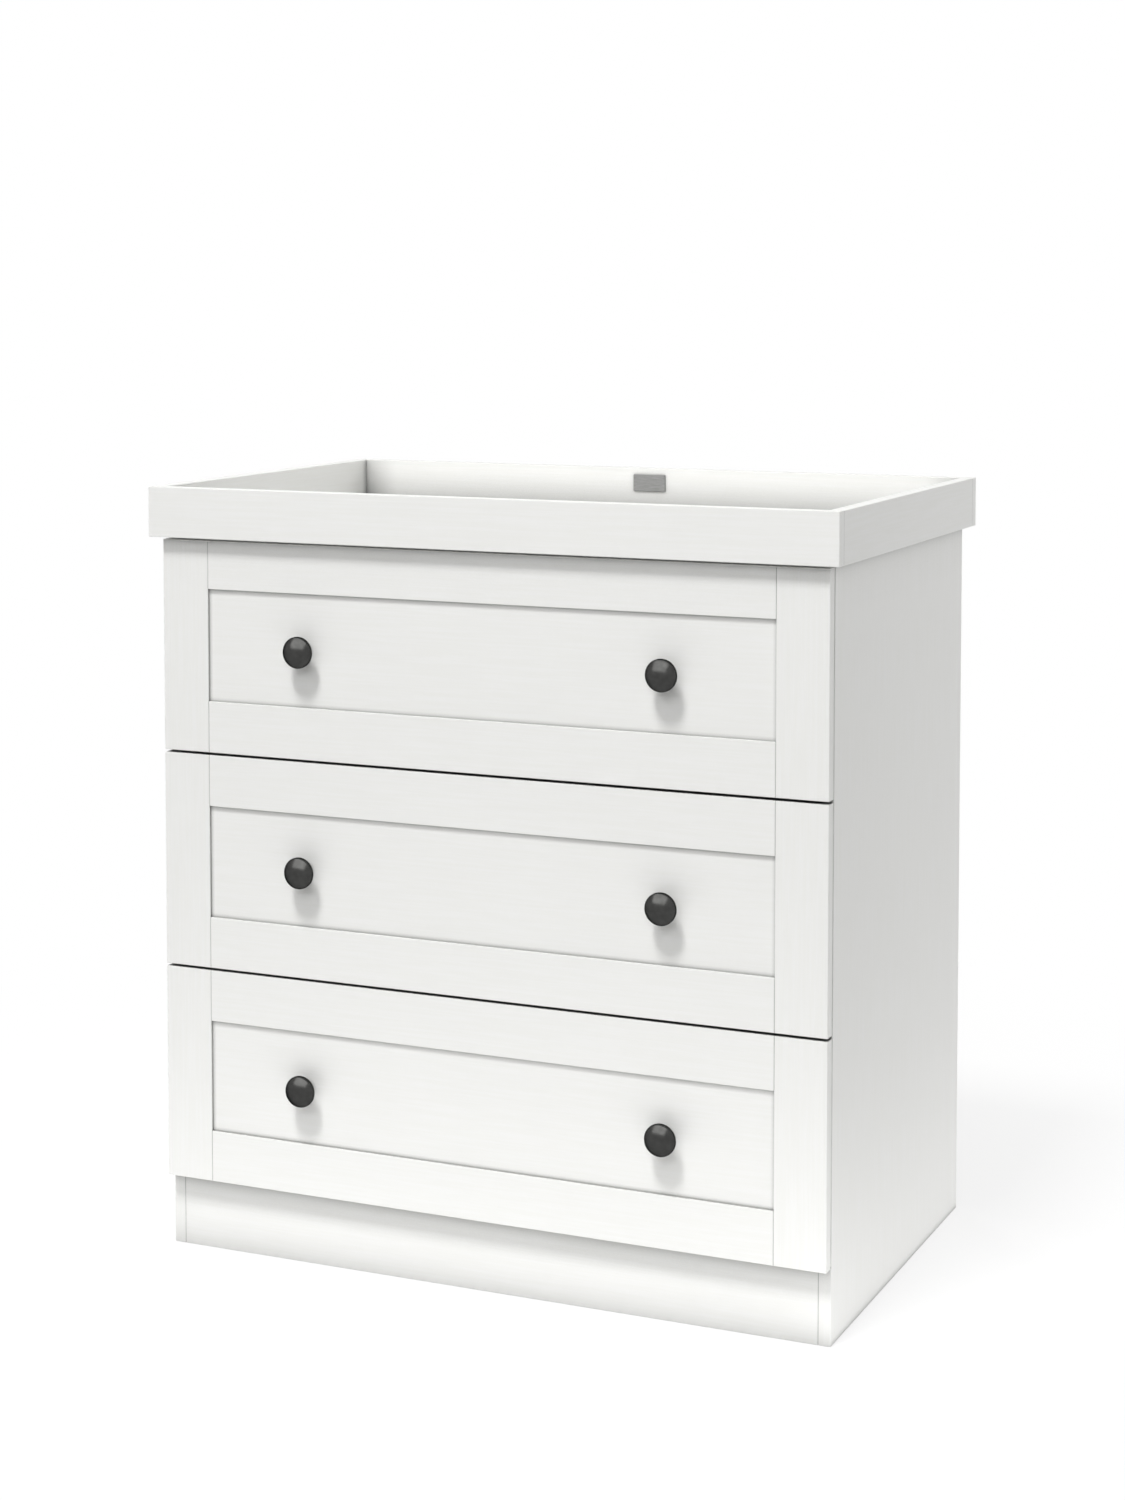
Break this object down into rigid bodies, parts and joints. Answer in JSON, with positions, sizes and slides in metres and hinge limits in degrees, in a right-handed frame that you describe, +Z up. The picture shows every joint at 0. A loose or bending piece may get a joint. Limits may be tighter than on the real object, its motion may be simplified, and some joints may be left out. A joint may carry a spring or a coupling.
{
  "type": "changing table",
  "caption": "White nursery dresser with shaker-front drawers on roller runners, dark mushroom knobs and a lift-off changing tray with raised walls on its top.",
  "frame": {"origin": "on the floor, at the middle of the whole object's box", "axes": "+X to the right seen from the front, the drawers open towards -Y, +Z up"},
  "size_m": [0.878, 0.566, 0.94],
  "materials": {
    "white_lacquer": "satin white lacquer on board",
    "white_melamine": "white melamine-faced board",
    "white_hardboard": "white-faced hardboard",
    "dark_metal": "dark gunmetal, satin",
    "coated_steel": "white epoxy-coated steel",
    "nylon": "moulded nylon",
    "zinc_plated_steel": "zinc plated",
    "beech": "bare beech",
    "badge_metal": "brushed, bare"
  },
  "bodies": {
    "carcass": {"left_side_panel": "white_lacquer", "right_side_panel": "white_lacquer", "top_panel": "white_lacquer", "bottom_panel": "white_lacquer", "back_panel": "white_hardboard", "plinth_board": "white_lacquer", "rear_top_rail": "white_lacquer", "cam_fittings": "zinc_plated_steel", "plinth_dowels": "beech", "locating_pegs": "beech", "cabinet_runners": "coated_steel"},
    "tray": {"tray_base": "white_lacquer", "tray_front_wall": "white_lacquer", "tray_back_wall": "white_lacquer", "tray_left_wall": "white_lacquer", "tray_right_wall": "white_lacquer", "badge_plate": "badge_metal"},
    "bottom_drawer": {"bottom_drawer_bottom_rail": "white_lacquer", "bottom_drawer_box_back": "white_melamine", "bottom_drawer_box_bottom": "white_hardboard", "bottom_drawer_box_front": "white_melamine", "bottom_drawer_box_sides": "white_melamine", "bottom_drawer_front_panel": "white_lacquer", "bottom_drawer_knob_screws": "zinc_plated_steel", "bottom_drawer_knobs": "dark_metal", "bottom_drawer_left_stile": "white_lacquer", "bottom_drawer_right_stile": "white_lacquer", "bottom_drawer_runners": "coated_steel", "bottom_drawer_top_rail": "white_lacquer"},
    "bottom_drawer_front_rollers": {"bottom_drawer_front_rollers": "nylon"},
    "bottom_drawer_rear_rollers": {"bottom_drawer_rear_rollers": "nylon"},
    "middle_drawer": {"middle_drawer_bottom_rail": "white_lacquer", "middle_drawer_box_back": "white_melamine", "middle_drawer_box_bottom": "white_hardboard", "middle_drawer_box_front": "white_melamine", "middle_drawer_box_sides": "white_melamine", "middle_drawer_front_panel": "white_lacquer", "middle_drawer_knob_screws": "zinc_plated_steel", "middle_drawer_knobs": "dark_metal", "middle_drawer_left_stile": "white_lacquer", "middle_drawer_right_stile": "white_lacquer", "middle_drawer_runners": "coated_steel", "middle_drawer_top_rail": "white_lacquer"},
    "middle_drawer_front_rollers": {"middle_drawer_front_rollers": "nylon"},
    "middle_drawer_rear_rollers": {"middle_drawer_rear_rollers": "nylon"},
    "top_drawer": {"top_drawer_bottom_rail": "white_lacquer", "top_drawer_box_back": "white_melamine", "top_drawer_box_bottom": "white_hardboard", "top_drawer_box_front": "white_melamine", "top_drawer_box_sides": "white_melamine", "top_drawer_front_panel": "white_lacquer", "top_drawer_knob_screws": "zinc_plated_steel", "top_drawer_knobs": "dark_metal", "top_drawer_left_stile": "white_lacquer", "top_drawer_right_stile": "white_lacquer", "top_drawer_runners": "coated_steel", "top_drawer_top_rail": "white_lacquer"},
    "top_drawer_front_rollers": {"top_drawer_front_rollers": "nylon"},
    "top_drawer_rear_rollers": {"top_drawer_rear_rollers": "nylon"}
  },
  "joints": [
    {"name": "bottom_drawer_slide", "type": "slide", "parent": "carcass", "child": "bottom_drawer", "axis": [0, -1, 0], "range_m": [0, 0.33]},
    {"name": "middle_drawer_slide", "type": "slide", "parent": "carcass", "child": "middle_drawer", "axis": [0, -1, 0], "range_m": [0, 0.33]},
    {"name": "top_drawer_slide", "type": "slide", "parent": "carcass", "child": "top_drawer", "axis": [0, -1, 0], "range_m": [0, 0.33]},
    {"name": "tray_lift", "type": "slide", "parent": "carcass", "child": "tray", "axis": [0, 0, 1], "range_m": [0, 0.1]},
    {"name": "bottom_drawer_front_roller_spin", "type": "hinge", "parent": "carcass", "child": "bottom_drawer_front_rollers", "pos_m": [0, -0.2262, 0.1293], "axis": [1, 0, 0], "continuous": true},
    {"name": "bottom_drawer_rear_roller_spin", "type": "hinge", "parent": "bottom_drawer", "child": "bottom_drawer_rear_rollers", "pos_m": [0, 0.1958, 0.1281], "axis": [1, 0, 0], "continuous": true},
    {"name": "middle_drawer_front_roller_spin", "type": "hinge", "parent": "carcass", "child": "middle_drawer_front_rollers", "pos_m": [0, -0.2262, 0.394], "axis": [1, 0, 0], "continuous": true},
    {"name": "middle_drawer_rear_roller_spin", "type": "hinge", "parent": "middle_drawer", "child": "middle_drawer_rear_rollers", "pos_m": [0, 0.1958, 0.3928], "axis": [1, 0, 0], "continuous": true},
    {"name": "top_drawer_front_roller_spin", "type": "hinge", "parent": "carcass", "child": "top_drawer_front_rollers", "pos_m": [0, -0.2262, 0.6587], "axis": [1, 0, 0], "continuous": true},
    {"name": "top_drawer_rear_roller_spin", "type": "hinge", "parent": "top_drawer", "child": "top_drawer_rear_rollers", "pos_m": [0, 0.1958, 0.6575], "axis": [1, 0, 0], "continuous": true}
  ],
  "couplings": [
    {"joint": "bottom_drawer_front_roller_spin", "follows": "bottom_drawer_slide", "rad_per_m": 111.11},
    {"joint": "bottom_drawer_rear_roller_spin", "follows": "bottom_drawer_slide", "rad_per_m": 111.11},
    {"joint": "middle_drawer_front_roller_spin", "follows": "middle_drawer_slide", "rad_per_m": 111.11},
    {"joint": "middle_drawer_rear_roller_spin", "follows": "middle_drawer_slide", "rad_per_m": 111.11},
    {"joint": "top_drawer_front_roller_spin", "follows": "top_drawer_slide", "rad_per_m": 111.11},
    {"joint": "top_drawer_rear_roller_spin", "follows": "top_drawer_slide", "rad_per_m": 111.11}
  ]
}
